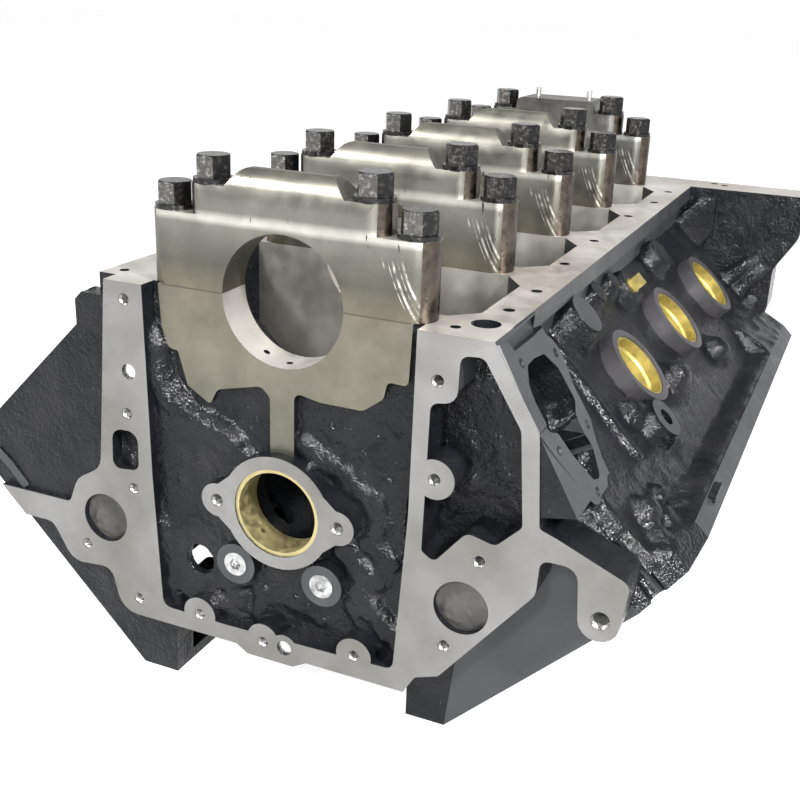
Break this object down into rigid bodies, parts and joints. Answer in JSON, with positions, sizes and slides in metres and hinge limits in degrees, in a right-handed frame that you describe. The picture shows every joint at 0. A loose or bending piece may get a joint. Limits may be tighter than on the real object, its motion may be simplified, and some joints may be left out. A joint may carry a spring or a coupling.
{
  "type": "engine block",
  "caption": "Bare V engine block in black-painted cast iron, standing crankcase up, with bolted main caps, cam bearings and pressed plugs.",
  "frame": {"origin": "on the crank axis, at the front face of the first main bearing", "axes": "+Y from the timing face to the flywheel face, +Z towards the oil pan, so +X is the side seen at the right of the picture"},
  "size_m": [0.458, 0.5758, 0.329],
  "materials": {
    "cast_paint": "gloss black paint over rough casting, machined faces bare",
    "cap_steel": "milled, satin",
    "rear_cap_iron": "milled in front, cast behind",
    "bolt_black": "black oxide, oily",
    "bearing_gold": "satin",
    "plug_brass": "bright",
    "plug_zinc": "bright zinc",
    "dowel_steel": "ground"
  },
  "bodies": {
    "root": {"block": "cast_paint", "main_cap_1": "cap_steel", "main_cap_2": "cap_steel", "main_cap_3": "cap_steel", "main_cap_4": "cap_steel", "main_cap_5": "rear_cap_iron", "outer_cap_bolts": "bolt_black", "inner_cap_bolts": "bolt_black", "outer_cap_washers": "bolt_black", "inner_cap_washers": "bolt_black", "rear_cap_pins": "dowel_steel", "cam_bearing_1": "bearing_gold", "cam_bearing_2": "bearing_gold", "cam_bearing_3": "bearing_gold", "cam_bearing_4": "bearing_gold", "cam_bearing_5": "bearing_gold", "rear_cam_plug": "plug_brass", "core_plugs_right": "plug_brass", "core_plugs_left": "plug_brass", "rear_core_plugs": "plug_brass", "front_gallery_plugs": "plug_zinc", "rear_gallery_plugs": "plug_zinc", "drain_plug_right": "plug_brass", "drain_plug_left": "plug_brass", "timing_cover_dowels": "dowel_steel", "housing_dowels": "dowel_steel", "deck_dowels_right": "dowel_steel", "deck_dowels_left": "dowel_steel"}
  },
  "joints": []
}
